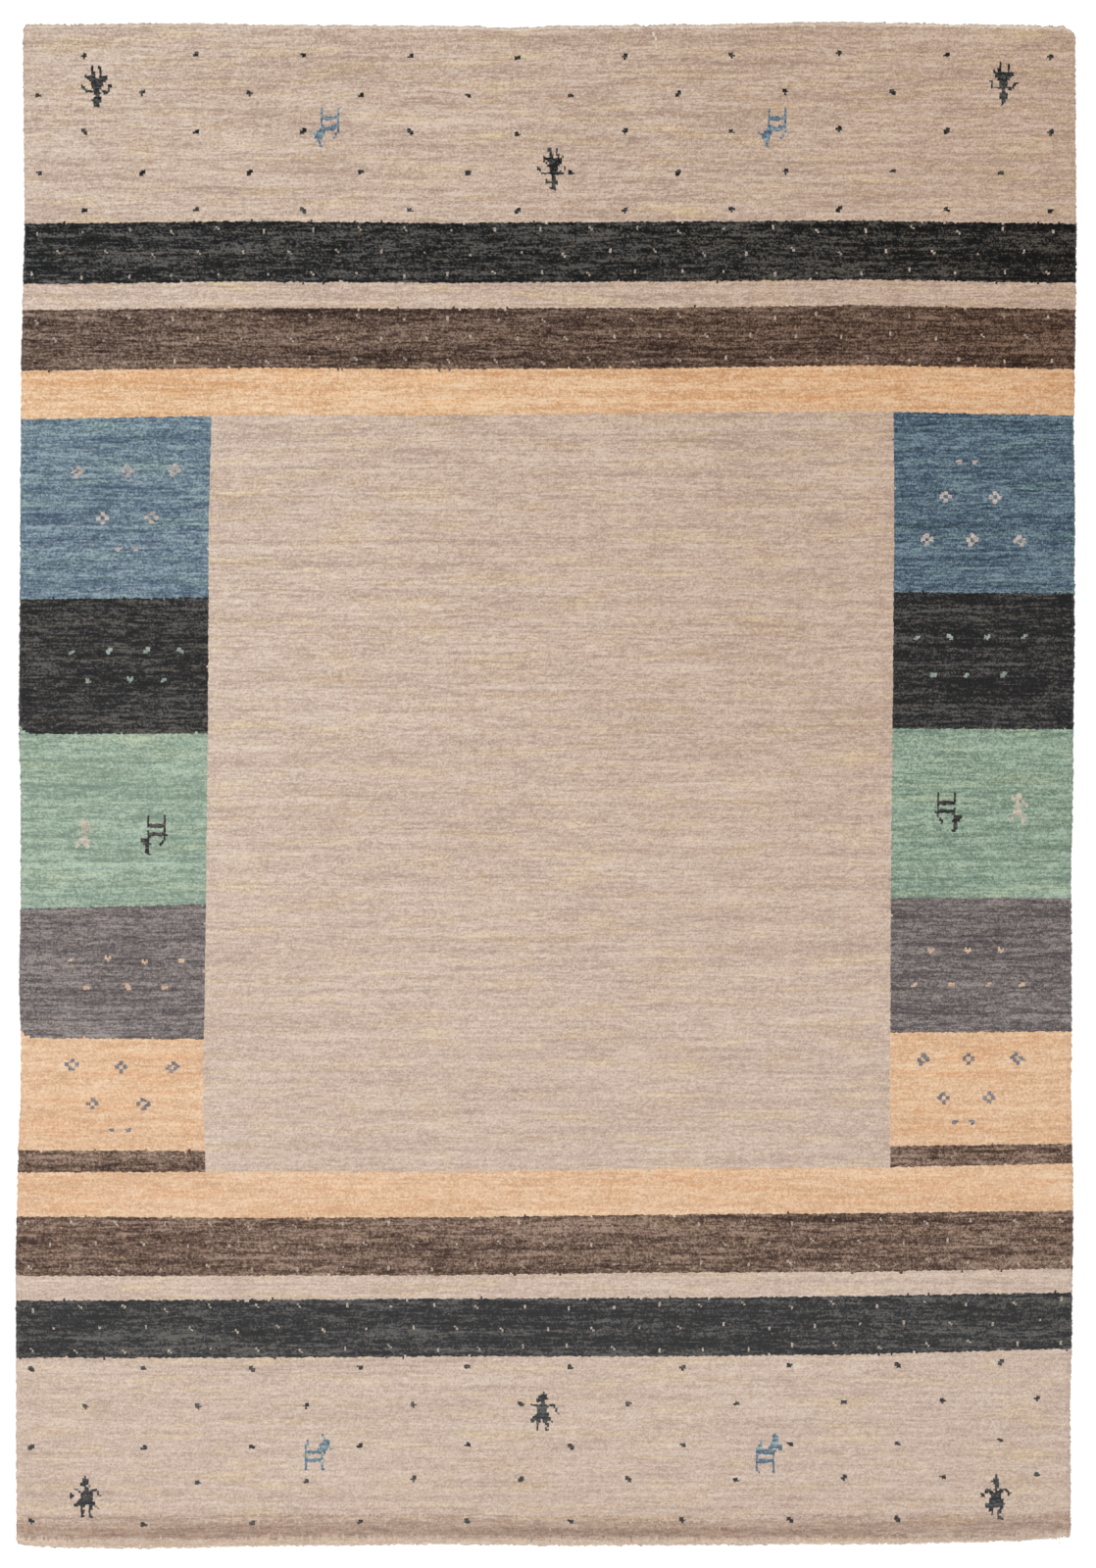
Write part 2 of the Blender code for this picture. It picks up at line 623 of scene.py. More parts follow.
    def tie_bands(self) -> None:
        """Fills the cross bands."""
        start = 0
        for band in self.bands:
            self.knots[start:band.to_row] = slot_of(band.yarn)
            start = band.to_row

    def tie_blocks(self) -> None:
        """Fills the two columns of blocks beside the middle field."""
        start = self.first_block_row
        for block in self.blocks:
            self.knots[start:block.to_row, :self.block_left] = slot_of(block.left)
            self.knots[start:block.to_row, self.block_right:] = slot_of(block.right)
            start = block.to_row
        for block, below in zip(self.blocks, self.blocks[1:]):
            for up, width in enumerate(self.corner_steps if block.rounded else ()):
                self.knots[block.to_row - 1 - up, :width] = slot_of(below.left)

    def tie_ends(self) -> None:
        """Paints light and shade where the pile bends over the ends: a paler rim at the head, and at the
        foot beige wool painted darker in steps above a paler roll.
        """
        # Painted highlight: the head's first two rows in the paler rim wool.
        self.knots[:2] = slot_of(Yarn.RIM)
        pale_rows = np.interp(np.arange(COLUMNS), self.roll_columns, self.roll_rows)
        pale_rows += np.random.default_rng(SEED + 3).uniform(-0.5, 0.5, COLUMNS)
        for column, pale in enumerate(pale_rows.round().astype(int)):
            # Painted shade: four rows, darkest to the left of each stop.
            dark = [Yarn.FOOT_SHADE if column < stop else Yarn.FOOT_HALF_SHADE for stop in self.dark_stops]
            # Painted highlight on the roll, two steps up from the shade, with the rim row last.
            roll = [Yarn.FOOT_HALF_SHADE, Yarn.SHADED_BEIGE, *[Yarn.ROLL] * (pale - 2), Yarn.RIM]
            yarns = [*self.shading, *dark, *roll]
            self.knots[-len(yarns):, column] = [slot_of(yarn) for yarn in yarns]

    def roughen(self) -> None:
        """Lets single knots stray over the straight lines between two yarns."""
        for here, teeth in ((self.knots, self.teeth_along), (self.knots.T, self.teeth_across)):
            before = here[:-1].copy()
            after = here[1:].copy()
            edge = before != after
            strays = self.rng.random(edge.shape)
            down = edge & (strays < teeth)
            up = edge & (strays > 1 - teeth)
            here[1:][down] = before[down]
            here[:-1][up] = after[up]

    def tie(self, chart: str, yarn: Yarn, spot: Spot, mirrored: bool = False) -> None:
        """Ties one figure into the ground.

        Args:
            chart: The figure, drawn in # and full stops.
            yarn: Its yarn.
            spot: Column and row of its first knot.
            mirrored: Whether it faces the other way.
        """
        figure = knots_of(chart)
        if mirrored:
            figure = figure[:, ::-1]
        column, row = spot
        ground = self.knots[row:row + figure.shape[0], column:column + figure.shape[1]]
        shown = figure[:ground.shape[0], :ground.shape[1]]
        ground[shown] = slot_of(yarn)

    def tie_middle(self, charts: tuple[str, ...], yarn: Yarn, spot: Spot, turns: bool = True) -> None:
        """Ties a small figure, picked from a few charts, around a column and row.

        Args:
            charts: Its charts, drawn in # and full stops.
            yarn: Its yarn.
            spot: Column and row of its middle.
            turns: Whether half of the figures face the other way.
        """
        chart = charts[self.rng.integers(len(charts))]
        figure = knots_of(chart)
        column = max(0, round(spot[0] - figure.shape[1] / 2))
        row = max(0, round(spot[1] - figure.shape[0] / 2))
        self.tie(chart, yarn, (column, row), mirrored=turns and bool(self.rng.random() < 0.5))

    def tie_figures(self) -> None:
        """Ties the people, goats, flowers, dots and flecks."""
        for flecks in self.fleck_rows:
            for column in np.linspace(flecks.first, flecks.last, flecks.count):
                stray = self.rng.integers(-1, 2, size=2)
                spot = (column + stray[0], flecks.row + stray[1] * 0.6)
                self.tie_middle(FLECKS, Yarn.CREAM, spot, turns=False)
        for dots in self.dot_rows:
            for column in dots.columns:
                self.tie_middle(DOTS, Yarn.INK, (column, dots.row))
        for scatter in self.scatters:
            for spot in scatter.spots:
                self.tie_middle(scatter.charts, scatter.yarn, spot)
        for figure in self.figures:
            self.tie(figure.chart, figure.yarn, (figure.column, figure.row), figure.mirrored)


@dataclass(frozen=True)
class Line:
    """A line of knots, and how many millimetres it strays at each of its stations."""

    place: int
    strays: tuple[int, ...]


def shares(stations: Array, places: Array) -> Array:
    """How much each station counts at each place, going straight from one to the next.

    Args:
        stations: Rising positions.
        places: Positions to work out.

    Returns:
        One line for each station, with its share at every place.
    """
    return np.array([np.interp(places, stations, unit) for unit in np.eye(len(stations))])


@dataclass
class Outline:
    """The four edges of the rug, read from the rim of its CAD solid."""

    mesh: bpy.types.Mesh
    corner_clear: float = 0.007
    end_zone: float = 0.035
    left: Array = field(init=False)
    right: Array = field(init=False)
    head: Array = field(init=False)
    foot: Array = field(init=False)

    def __post_init__(self) -> None:
        """Sorts the rim's points by edge."""
        points = {
            (round(vertex.co.x, 5), round(vertex.co.y, 5))
            for vertex in self.mesh.vertices
            if abs(vertex.co.z - RIM_HEIGHT) < 1e-4
        }
        rim = np.array(sorted(points))
        ends = RUG_LENGTH / 2 - self.end_zone
        sides = rim[np.abs(rim[:, 1]) < ends]
        self.left = self.sorted_by(sides[sides[:, 0] < 0], axis=1)
        self.right = self.sorted_by(sides[sides[:, 0] > 0], axis=1)
        inset = np.minimum(
            rim[:, 0] - np.interp(rim[:, 1], self.left[:, 1], self.left[:, 0]),
            np.interp(rim[:, 1], self.right[:, 1], self.right[:, 0]) - rim[:, 0],
        )
        clear = rim[inset > self.corner_clear]
        self.head = self.sorted_by(clear[clear[:, 1] > ends], axis=0)
        self.foot = self.sorted_by(clear[clear[:, 1] < -ends], axis=0)

    @staticmethod
    def sorted_by(points: Array, axis: int) -> Array:
        """The points in rising order along one axis."""
        return points[np.argsort(points[:, axis])]

    def side_strays(self, y: Array) -> tuple[Array, Array]:
        """How far the left and right edges lie to the right of a true rectangle's, by Y."""
        left = np.interp(y, self.left[:, 1], self.left[:, 0]) + RUG_WIDTH / 2
        right = np.interp(y, self.right[:, 1], self.right[:, 0]) - RUG_WIDTH / 2
        return left, right

    def end_strays(self, x: Array) -> tuple[Array, Array]:
        """How far the head and foot edges lie to the head of a true rectangle's, by X."""
        head = np.interp(x, self.head[:, 0], self.head[:, 1]) - RUG_LENGTH / 2
        foot = np.interp(x, self.foot[:, 0], self.foot[:, 1]) + RUG_LENGTH / 2
        return head, foot


@dataclass(frozen=True)
class Corner:
    """A rounded corner, by the signs of X and Y there."""

    side: int
    end: int
    radius: float


@dataclass
class Lay:
    """How the rug really lies: where its even grid of knots has strayed to."""

    outline: Outline
    stations_across: tuple[int, ...] = (8, 107, 206, 306, 406, 503)
    row_lines: tuple[Line, ...] = (
        Line(95, (-4, 0, -3, -1, 1, -4)),
        Line(124, (-5, -1, -3, -1, 2, -3)),
        Line(137, (-3, 0, -1, 0, 4, -2)),
        Line(167, (-1, 3, 1, 2, 7, 1)),
        Line(188, (-9, -3, -3, 0, 3, -3)),
        Line(276, (-6, -3, -1, 2, 5, 2)),
        Line(342, (-4, -3, 0, 2, 5, 3)),
        Line(424, (-11, -3, 0, 2, 5, 5)),
        Line(489, (-4, -6, -2, 2, 4, 6)),
        Line(544, (-2, -3, -2, 1, 4, 8)),
        Line(554, (-4, -3, -3, 1, 3, 9)),
        Line(576, (-2, -4, -3, 1, 3, 7)),
        Line(605, (-1, -1, 0, 4, 5, 10)),
        Line(616, (-4, -3, -1, 0, 3, 8)),
        Line(644, (-3, -3, -1, -1, 2, 10)),
    )
    stations_along: tuple[int, ...] = (190, 235, 320, 415, 482, 520, 552)
    column_lines: tuple[Line, ...] = (
        Line(91, (5, 1, 0, -3, -6, -8, -4)),
        Line(422, (2, 3, 1, -2, -3, -4, -3)),
    )
    corners: tuple[Corner, ...] = (
        Corner(-1, 1, 0.010),
        Corner(1, 1, 0.018),
        Corner(-1, -1, 0.009),
        Corner(1, -1, 0.006),
    )

    def rounded(self, x: Array, y: Array) -> tuple[Array, Array]:
        """Moves the points near the corners in, onto quarter circles."""
        x = x.copy()
        y = y.copy()
        for corner in self.corners:
            over_x = corner.side * x - (RUG_WIDTH / 2 - corner.radius)
            over_y = corner.end * y - (RUG_LENGTH / 2 - corner.radius)
            inside = (over_x > 0) & (over_y > 0)
            reach = np.where(inside, np.hypot(over_x, over_y), 1.0)
            shrink = np.where(inside, np.maximum(over_x, over_y) / reach, 1.0)
            x -= corner.side * over_x * (1 - shrink)
            y -= corner.end * over_y * (1 - shrink)
        return x, y

    def spots(self, columns: Array, rows: Array) -> tuple[Array, Array]:
        """Where the crossings of some columns and rows lie.

        Args:
            columns: Distances across, in knots from the left edge.
            rows: Distances along, in knots from the head edge.

        Returns:
            X and Y in metres, one line for each row.
        """
        plain_x = (columns / COLUMNS - 0.5) * RUG_WIDTH
        plain_y = (0.5 - rows / ROWS) * RUG_LENGTH
        left, right = self.outline.side_strays(plain_y)
        head, foot = self.outline.end_strays(plain_x)
        inner = [
            np.interp(rows, self.stations_along, line.strays) / 1000 for line in self.column_lines
        ]
        line_columns = np.array([0, *(line.place for line in self.column_lines), COLUMNS])
        along = np.array([left, *inner, right])
        shift_x = along.T @ shares(line_columns, columns)
        line_rows = np.array([0, *(line.place for line in self.row_lines), ROWS])
        strays = np.array([line.strays for line in self.row_lines]) / 1000
        across = strays @ shares(np.array(self.stations_across), columns)
        across = np.vstack([head, across, foot])
        shift_y = shares(line_rows, rows).T @ across
        x, y = self.rounded(*np.meshgrid(plain_x, plain_y))
        return x + shift_x, y + shift_y


@dataclass(frozen=True)
class Swell:
    """A slow wave in the pile: its lengths across and along the rug, start and height."""

    across: float
    along: float
    start: float
    height: float


@dataclass(frozen=True)
class Parting:
    """A thin line between two columns of knots, where the pile leans apart."""

    column: float
    first_row: int
    last_row: int
    depth: float


def grid_faces(rows: int, columns: int) -> Array:
    """Corner numbers of the faces of a grid that is stored row by row.

    Args:
        rows: Rows of faces.
        columns: Columns of faces.

    Returns:
        Four vertex numbers a face, turning so that a grid with its first row at the head
        and its first column at the left faces up.
    """
    row, column = np.mgrid[0:rows, 0:columns]
    first = (row * (columns + 1) + column).reshape(-1)
    return np.stack([first + columns + 1, first + columns + 2, first + 1, first], axis=1)


def add_piece(name: str, points: Array, faces: Array, slots: Array, skins: list) -> bpy.types.Object:
    """Makes a mesh piece, dressed face by face, that rides on the rug's body.

    Args:
        name: The piece's name.
        points: Its vertices, in metres.
        faces: Its faces, as vertex numbers.
        slots: The material slot of each face.
        skins: Its materials.

    Returns:
        The new object.
    """
    mesh = bpy.data.meshes.new(name)
    mesh.from_pydata(points.tolist(), [], faces.tolist())
    for skin in skins:
        mesh.materials.append(skin)
    mesh.polygons.foreach_set("material_index", slots.astype(np.int32))
    mesh.shade_smooth()
    piece = bpy.data.objects.new(name, mesh)
    bpy.context.scene.collection.objects.link(piece)
    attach(piece, BODY)
    return piece


def add_bake_map(mesh: bpy.types.Mesh, places: Array) -> None:
    """Gives a mesh the map that its colours are baked through, with a place for each corner."""
    layer = mesh.uv_layers.new(name="OFBake")
    layer.uv.foreach_set("vector", places.reshape(-1).astype(np.float32))


@dataclass
class Pile:
    """The pile: a facet for each knot, rolled over at the rim, in strips along the rug."""

    chart: Chart
    lay: Lay
    strips: int = 6
    folds: int = 3
    side_roll: float = 0.008
    end_roll: float = 0.016
    tuck_height: float = 0.0015
    tuck_inward: float = 0.003
    stray_across: float = 0.24
    stray_along: float = 0.38
    relief: float = 0.00034
    ridge: float = 0.00022
    rim_stray: float = 0.00045
    furrow_row: float = 730.0
    furrow_depth: float = 0.0016
    furrow_spread: float = 2.6
    notch_column: float = 302.0
    notch_depth: float = 0.0038
    parting_spread: float = 0.8
    partings: tuple[Parting, ...] = (
        Parting(305.0, 3, 11, 0.0020),
        Parting(422.0, 95, 188, 0.0007),
        Parting(422.0, 554, 644, 0.0007),
    )
    swells: tuple[Swell, ...] = (
        Swell(across=1.10, along=0.83, start=0.4, height=0.0004),
        Swell(across=0.47, along=-0.61, start=2.1, height=0.0003),
        Swell(across=-0.71, along=0.29, start=4.4, height=0.0002),
    )
    rng: Any = field(default_factory=lambda: np.random.default_rng(SEED + 1))
    points: Array = field(init=False)

    def __post_init__(self) -> None:
        """Works out the whole grid of vertices, with one more ring tucked under the rim."""
        columns = np.arange(COLUMNS + 1.0)
        rows = np.arange(ROWS + 1.0)
        x, y = self.lay.spots(columns, rows)
        z = self.heights(columns, rows)
        x += self.rng.uniform(-self.stray_across, self.stray_across, x.shape) * KNOT_WIDTH
        y += self.rng.uniform(-self.stray_along, self.stray_along, y.shape) * KNOT_LENGTH
        y[0] += self.rng.normal(0, self.rim_stray, x.shape[1])
        y[-1] += self.rng.normal(0, self.rim_stray, x.shape[1])
        notch = np.exp(-(((columns - self.notch_column) / 1.1) ** 2))
        y[:3] -= notch * self.notch_depth * np.array([[1.0], [0.6], [0.25]])
        grid = np.stack([x, y, z], axis=2)
        self.points = self.tucked(grid)

    def heights(self, columns: Array, rows: Array) -> Array:
        """Height of the pile at each crossing of the knot grid."""
        x = (columns / COLUMNS - 0.5) * RUG_WIDTH
        y = ((0.5 - rows / ROWS) * RUG_LENGTH)[:, None]
        side = np.clip((RUG_WIDTH / 2 - np.abs(x)) / self.side_roll, 0, 1)
        end = np.clip((RUG_LENGTH / 2 - np.abs(y)) / self.end_roll, 0, 1)
        roll = np.sqrt(1 - (1 - side) ** 2) * np.sqrt(1 - (1 - end) ** 2)
        swell = sum(
            wave.height * np.sin(math.tau * (x / wave.across + y / wave.along) + wave.start)
            for wave in self.swells
        )
        relief = self.rng.normal(0, self.relief, (rows.size, columns.size))
        ridge = self.rng.normal(0, self.ridge, (rows.size, columns.size + 16))
        ridge = np.lib.stride_tricks.sliding_window_view(ridge, 17, axis=1).mean(axis=2) * 4.0
        furrow = np.exp(-(((rows - self.furrow_row) / self.furrow_spread) ** 2))[:, None]
        loose = np.clip(relief, -0.0009, 0.0009) + ridge - furrow * self.furrow_depth
        for parting in self.partings:
            inside = ((rows >= parting.first_row) & (rows <= parting.last_row))[:, None]
            loose -= inside * parting.depth * np.exp(
                -(((columns - parting.column) / self.parting_spread) ** 2)
            )
        return RIM_HEIGHT + (PILE_TOP - RIM_HEIGHT + swell + loose) * roll

    def tucked(self, grid: Array) -> Array:
        """Adds a ring of vertices that lies under the rim."""
        ring = np.pad(grid, ((1, 1), (1, 1), (0, 0)), mode="edge")
        ring[0, :, 1] -= self.tuck_inward
        ring[-1, :, 1] += self.tuck_inward
        ring[:, 0, 0] += self.tuck_inward
        ring[:, -1, 0] -= self.tuck_inward
        for edge in (ring[0], ring[-1], ring[:, 0], ring[:, -1]):
            edge[:, 2] = self.tuck_height
        return ring

    def normals(self) -> Array:
        """Upward normal at each vertex, the same on both sides of a cut between strips."""
        across = np.gradient(self.points, axis=1)
        along = np.gradient(self.points, axis=0)
        normal = np.cross(along, across)
        return normal / np.linalg.norm(normal, axis=2, keepdims=True)

    def bake_places(self, rows: int, columns: int) -> Array:
        """Places in the bake map, where a strip is folded into columns side by side.

        Args:
            rows: The strip's rows of faces.
            columns: Its columns of faces.

        Returns:
            Two numbers from 0 to 1 for each corner of each face.
        """
        fold_rows = math.ceil(rows / self.folds)
        row, column = np.mgrid[0:rows, 0:columns]
        fold = row // fold_rows
        margin = 0.006
        width = (1 - 2 * margin) / self.folds - margin
        u0 = margin + fold * (width + margin)
        corners = []
        for down, right in ((1, 0), (1, 1), (0, 1), (0, 0)):
            u = u0 + (column + right) / columns * width
            v = 1 - margin - (row % fold_rows + down) / fold_rows * (1 - 2 * margin)
            corners.append(np.stack([u, v], axis=2))
        return np.stack(corners, axis=2)

    def build(self, skins: list) -> list[bpy.types.Object]:
        """Builds the strips.

        Args:
            skins: The yarns' materials.

        Returns:
            The strips, from left to right.
        """
        slots = np.pad(self.chart.knots, 1, mode="edge")
        normals = self.normals()
        cuts = np.linspace(0, slots.shape[1], self.strips + 1).round().astype(int)
        pieces = []
        for number, (start, stop) in enumerate(zip(cuts, cuts[1:]), 1):
            part = self.points[:, start:stop + 1]
            rows, columns = slots.shape[0], stop - start
            faces = grid_faces(rows, columns)
            piece = add_piece(
                f"pile_{number}",
                part.reshape(-1, 3),
                faces,
                slots[:, start:stop].reshape(-1),
                skins,
            )
            facing = normals[:, start:stop + 1].reshape(-1, 3)
            piece.data.normals_split_custom_set_from_vertices(facing.tolist())
            add_bake_map(piece.data, self.bake_places(rows, columns))
            pieces.append(piece)
            log.info("%s: %d knots", piece.name, rows * columns)
        return pieces


@dataclass
class Foundation:
    """The woven ground that the knots are tied on, a thin closed cloth with its own back."""

    chart: Chart
    lay: Lay
    cell_columns: int = 3
    cell_rows: int = 2
    inset: float = 0.004
    top_inset: float = 0.0022
    thickness: float = 0.0045
    weave: float = 0.00045

    def build(self, skins: list) -> bpy.types.Object:
        """Builds the cloth.

        Args:
            skins: The yarns' materials.

        Returns:
            The cloth, which stands for the CAD solid.
        """
        columns = np.linspace(0, COLUMNS, COLUMNS // self.cell_columns + 1)
        rows = np.linspace(0, ROWS, ROWS // self.cell_rows + 1)
        x, y = self.lay.spots(columns, rows)
        row, column = np.mgrid[0:rows.size, 0:columns.size]
        z = np.where((row + column) % 2 == 0, 0.0, self.weave)
        bottom = np.stack([x * (1 - self.inset / 0.8), y * (1 - self.inset / 1.155), z], axis=2)
        down = grid_faces(rows.size - 1, columns.size - 1)[:, ::-1]
        ring = self.ring(rows.size, columns.size)
        top = np.stack(
            [
                x.reshape(-1)[ring] * (1 - self.top_inset / 0.8),
                y.reshape(-1)[ring] * (1 - self.top_inset / 1.155),
                np.full(ring.size, self.thickness),
            ],
            axis=1,
        )
        points = np.vstack([bottom.reshape(-1, 3), top])
        first = bottom.shape[0] * bottom.shape[1]
        above = first + np.arange(ring.size)
        wall = np.stack([ring, np.roll(ring, -1), np.roll(above, -1), above], axis=1)
        middle_row = (rows[:-1] + self.cell_rows / 2).astype(int).clip(0, ROWS - 1)
        middle_column = (columns[:-1] + self.cell_columns / 2).astype(int).clip(0, COLUMNS - 1)
        under = self.chart.knots[np.ix_(middle_row, middle_column)].reshape(-1)
        edge = np.full(ring.size + 1, slot_of(Yarn.ROLL))
        cap = [int(number) for number in above]
        faces = down.tolist() + wall.tolist() + [cap]
        slots = np.concatenate([under, edge])
        cloth = self.piece(points, faces, slots, skins)
        add_bake_map(cloth.data, self.bake_places(points, down, wall, above))
        return cloth

    @staticmethod
    def bake_places(points: Array, down: Array, wall: Array, above: Array) -> Array:
        """Places in the bake map: the back, then a row of wall faces, then the hidden top.

        Args:
            points: The cloth's vertices.
            down: The faces of its back.
            wall: The faces of its rim.
            above: The corners of its top face.

        Returns:
            Two numbers from 0 to 1 for each corner of each face.
        """
        flat = points[:, :2] / np.array([RUG_WIDTH, RUG_LENGTH]) * 0.94 + 0.5
        back = flat[down.reshape(-1)] * np.array([1.0, 0.94])
        number = np.arange(len(wall))[:, None]
        wall_u = 0.02 + (number + np.array([[0, 1, 1, 0]])) / len(wall) * 0.96
        wall_v = np.broadcast_to(np.array([0.955, 0.955, 0.970, 0.970]), wall_u.shape)
        rim = np.stack([wall_u, wall_v], axis=2).reshape(-1, 2)
        top = flat[above] * np.array([1.0, 0.015]) + np.array([0.0, 0.98])
        return np.vstack([back, rim, top])

    def piece(self, points: Array, faces: list, slots: Array, skins: list) -> bpy.types.Object:
        """Makes the cloth's object from its parts."""
        mesh = bpy.data.meshes.new("foundation")
        mesh.from_pydata(points.tolist(), [], faces)
        for skin in skins:
            mesh.materials.append(skin)
        mesh.polygons.foreach_set("material_index", slots.astype(np.int32))
        mesh.shade_smooth()
        cloth = bpy.data.objects.new("foundation", mesh)
        bpy.context.scene.collection.objects.link(cloth)
        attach(cloth, BODY)
        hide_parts(NODE)
        log.info("foundation: %d faces", len(faces))
        return cloth

    @staticmethod
    def ring(rows: int, columns: int) -> Array:
        """Vertex numbers round a grid's border, so that walls built up from it face out."""
        top = np.arange(columns)
        right = np.arange(1, rows) * columns + columns - 1
        bottom = (rows - 1) * columns + np.arange(columns - 2, -1, -1)
        left = np.arange(rows - 2, 0, -1) * columns
        return np.concatenate([top, right, bottom, left])[::-1]


class Edge(Enum):
    """The rug's edges, each by its outward direction."""

    HEAD = (0, 1)
    FOOT = (0, -1)
    LEFT = (-1, 0)
    RIGHT = (1, 0)


@dataclass
class EdgeTufts:
    """Short ends of wool that lean out round the rim, each a slender three-sided spike."""

    pile: Pile
    per_knot: int = 4
    width: float = 0.0011
    lengths: tuple[float, float] = (0.0018, 0.0042)
    heights: tuple[float, float] = (0.0012, 0.0085)
    rng: Any = field(default_factory=lambda: np.random.default_rng(SEED + 2))

    def rim(self, edge: Edge) -> tuple[Array, Array]:
        """The rim's points and yarns along one edge."""
        points = self.pile.points[1:-1, 1:-1]
        knots = self.pile.chart.knots
        if edge is Edge.HEAD:
            return points[0], np.append(knots[0], knots[0, -1])
        if edge is Edge.FOOT:
            return points[-1], np.append(knots[-1], knots[-1, -1])
        if edge is Edge.LEFT:
            return points[:, 0], np.append(knots[:, 0], knots[-1, 0])
        return points[:, -1], np.append(knots[:, -1], knots[-1, -1])

    def build_edge(self, edge: Edge, skins: list) -> bpy.types.Object:
        """Builds the tufts of one edge.

        Args:
            edge: Which edge.
            skins: The yarns' materials.

        Returns:
            The tufts, as one piece.
        """
        line, yarns = self.rim(edge)
        count = (len(line) - 1) * self.per_knot
        place = np.sort(self.rng.uniform(0, len(line) - 1, count))
        knot = place.astype(int)
        part = (place - knot)[:, None]
        root = line[knot] * (1 - part) + line[knot + 1] * part
        out = np.array([*edge.value, 0.0])
        sideways = np.array([-out[1], out[0], 0.0])
        up = np.array([0.0, 0.0, 1.0])
        low = self.rng.uniform(*self.heights, (count, 1))
        root[:, 2:] = low
        bulge = np.sqrt(np.clip(1 - ((low - 0.004) / 0.010) ** 2, 0, 1))
        root -= out * (0.0014 + 0.004 * (1 - bulge))
        lean = self.rng.normal(0, 0.35, (count, 1))
        rise = self.rng.uniform(-0.15, 0.5, (count, 1))
        tip = root + (out + sideways * lean + up * rise) * self.rng.uniform(*self.lengths, (count, 1))
        half = self.width * self.rng.uniform(0.35, 0.7, (count, 1))
        corners = np.stack([root - sideways * half, root + sideways * half, root + up * half * 1.5, tip])
        points = corners.transpose(1, 0, 2).reshape(-1, 3)
        points[:, 2] = np.maximum(points[:, 2], 0.0002)
        first = np.arange(count)[:, None] * 4
        faces = (first + np.array([[0, 1, 3, 1, 2, 3, 2, 0, 3]])).reshape(-1, 3)
        slots = np.repeat(yarns[knot], 3)
        piece = add_piece(f"tufts_{edge.name.lower()}", points, faces, slots, skins)
        spot = (np.arange(count)[:, None] * 3 + np.arange(3)) / (3 * count)
        wide = 1 / (3 * count)
        corner_u = np.stack([spot, spot + wide, spot + wide / 2], axis=2)
        corner_v = np.broadcast_to(np.array([0.02, 0.02, 0.98]), corner_u.shape)
        add_bake_map(piece.data, np.stack([corner_u, corner_v], axis=3))
        log.info("%s: %d tufts", piece.name, count)
        return piece

    def build(self, skins: list) -> list[bpy.types.Object]:
        """Builds the tufts of all four edges."""
        return [self.build_edge(edge, skins) for edge in Edge]


@dataclass(frozen=True)
class Thread:
    """A loose thread that lies on the floor, by its ends and how far it bows to its left."""

    start: tuple[float, float]
    end: tuple[float, float]
    bow: float


@dataclass
class Fray:
    """The few threads that have come loose at the foot's right corner."""

    radius: float = 0.0004
    sides: int = 6
    steps: int = 10
    height: float = 0.0022
    threads: tuple[Thread, ...] = (
        Thread((0.7650, -1.1385), (0.7795, -1.1545), 0.0016),
        Thread((0.7700, -1.1385), (0.7825, -1.1560), -0.0012),
        Thread((0.7735, -1.1380), (0.7842, -1.1530), 0.0010),
        Thread((0.7770, -1.1375), (0.7838, -1.1565), -0.0018),
        Thread((0.7610, -1.1390), (0.7700, -1.1500), 0.0008),
    )

    def tube(self, thread: Thread) -> tuple[Array, Array]:
        """Points and faces of one thread, round and drawn to a point at both ends."""
        start, end = np.array(thread.start), np.array(thread.end)
        part = np.linspace(0, 1, self.steps + 1)[:, None]
        reach = end - start
        aside = np.array([-reach[1], reach[0]]) / np.hypot(*reach)
        line = start + reach * part + aside * thread.bow * np.sin(math.pi * part)
        tall = self.height * (1 - part) + self.radius
        around = np.arange(self.sides) * math.tau / self.sides
        thick = self.radius * np.minimum(1, 0.05 + 4 * np.sin(math.pi * part))
        flat = line[:, None] + aside * (thick * np.cos(around))[:, :, None]
        high = tall + thick * np.sin(around)
        points = np.concatenate([flat, high[:, :, None]], axis=2).reshape(-1, 3)
        step, side = np.mgrid[0:self.steps, 0:self.sides]
        here = step * self.sides + side
        beside = step * self.sides + (side + 1) % self.sides
        faces = np.stack([here, here + self.sides, beside + self.sides, beside], axis=2)
        return points, faces.reshape(-1, 4)

    def build(self, skins: list) -> bpy.types.Object:
        """Builds the threads.

        Args:
            skins: The yarns' materials.

        Returns:
            The threads, as one piece.
        """
        points, faces, first = [], [], 0
        for thread in self.threads:
            spots, sides = self.tube(thread)
            points.append(spots)
            faces.append(sides + first)
            first += len(spots)
        count = len(self.threads) * self.steps * self.sides
        slots = np.full(count, slot_of(Yarn.RIM))
        return add_piece("fray", np.vstack(points), np.vstack(faces), slots, skins)


